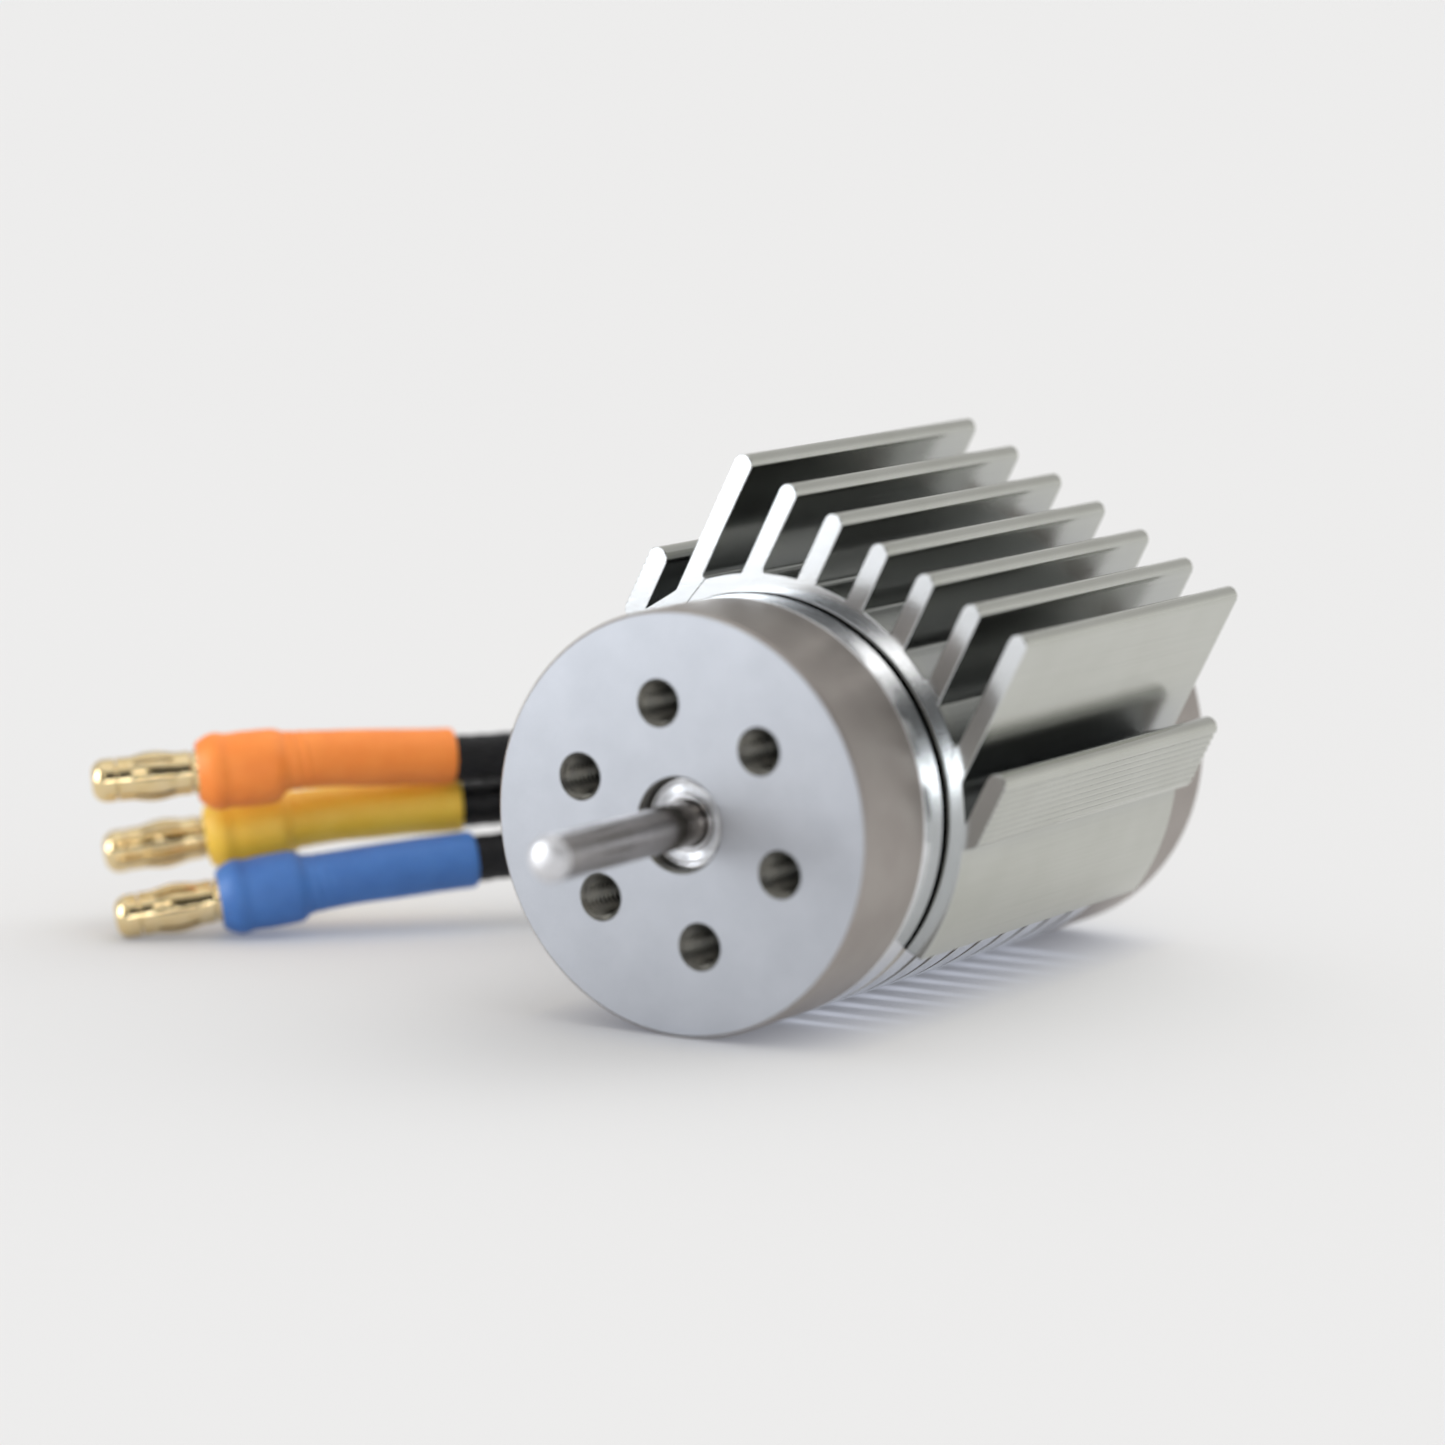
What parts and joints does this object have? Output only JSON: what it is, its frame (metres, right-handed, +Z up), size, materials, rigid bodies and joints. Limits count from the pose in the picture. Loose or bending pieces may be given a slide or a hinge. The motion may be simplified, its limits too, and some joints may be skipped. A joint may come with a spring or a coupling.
{
  "type": "brushless inrunner motor",
  "caption": "Brushless inrunner motor with a ribbed can, ball-bearing shaft, threaded front face, clip-on finned heat sink and plug-ended phase leads.",
  "frame": {"origin": "centre of the flat rear face, on the shaft axis", "axes": "+Z up with the motor lying on its side; the shaft axis is Y and the output shaft points to -Y; +X is to the right seen from the shaft end"},
  "size_m": [0.0773, 0.064, 0.0371],
  "materials": {
    "anodised_cap": "fine satin anodised, blue-grey face and warm grey side",
    "turned_can": "bright turned lands over dark anodised grooves",
    "anodised_sink": "olive-grey anodised extrusion with bright cut ends",
    "ground_steel": "ground",
    "bearing_steel": "polished",
    "lamination_steel": "stacked laminations",
    "magnet": "nickel plated",
    "brass": "turned",
    "gold_plate": "bright gold plate",
    "enamelled_copper": "enamelled copper wire",
    "rubber": "moulded black",
    "woven_sleeve": "black woven sleeving",
    "magnet_wrap": "resin-bonded fibre",
    "shrink_orange": "satin heat-shrink",
    "shrink_yellow": "satin heat-shrink",
    "shrink_blue": "satin heat-shrink"
  },
  "bodies": {
    "motor_body": {"front_cap": "anodised_cap", "can": "turned_can", "rear_cap": "anodised_cap", "heat_sink": "anodised_sink", "lead_grommet": "rubber", "stator_core": "lamination_steel", "preload_washer": "ground_steel", "coil_a1": "enamelled_copper", "coil_a2": "enamelled_copper", "coil_b1": "enamelled_copper", "coil_b2": "enamelled_copper", "coil_c1": "enamelled_copper", "coil_c2": "enamelled_copper", "front_bearing_outer_ring": "bearing_steel", "front_bearing_shield": "bearing_steel", "rear_bearing_outer_ring": "bearing_steel", "rear_bearing_shield": "bearing_steel", "lead_sleeve_orange": "woven_sleeve", "lead_wire_orange": "enamelled_copper", "plug_pin_orange": "gold_plate", "plug_spring_orange": "gold_plate", "heat_shrink_orange": "shrink_orange", "lead_sleeve_yellow": "woven_sleeve", "lead_wire_yellow": "enamelled_copper", "plug_pin_yellow": "gold_plate", "plug_spring_yellow": "gold_plate", "heat_shrink_yellow": "shrink_yellow", "lead_sleeve_blue": "woven_sleeve", "lead_wire_blue": "enamelled_copper", "plug_pin_blue": "gold_plate", "plug_spring_blue": "gold_plate", "heat_shrink_blue": "shrink_blue"},
    "rotor": {"shaft": "ground_steel", "rotor_core": "lamination_steel", "magnet_wrap": "magnet_wrap", "front_end_ring": "brass", "rear_end_ring": "brass", "front_spacer": "ground_steel", "rear_spacer": "ground_steel", "front_bearing_inner_ring": "bearing_steel", "rear_bearing_inner_ring": "bearing_steel", "magnet_1": "magnet", "magnet_2": "magnet", "magnet_3": "magnet", "magnet_4": "magnet"},
    "front_balls": {"front_ball_set": "brass"},
    "rear_balls": {"rear_ball_set": "brass"}
  },
  "joints": [
    {"name": "rotor_spin", "type": "hinge", "parent": "motor_body", "child": "rotor", "pos_m": [0, -0.024, 0], "axis": [0, -1, 0], "continuous": true},
    {"name": "front_ball_roll", "type": "hinge", "parent": "motor_body", "child": "front_balls", "pos_m": [0, -0.04585, 0], "axis": [0, -1, 0], "continuous": true},
    {"name": "rear_ball_roll", "type": "hinge", "parent": "motor_body", "child": "rear_balls", "pos_m": [0, -0.00375, 0], "axis": [0, -1, 0], "continuous": true}
  ],
  "couplings": [
    {"joint": "front_ball_roll", "follows": "rotor_spin", "ratio": 0.4333},
    {"joint": "rear_ball_roll", "follows": "rotor_spin", "ratio": 0.4333}
  ]
}
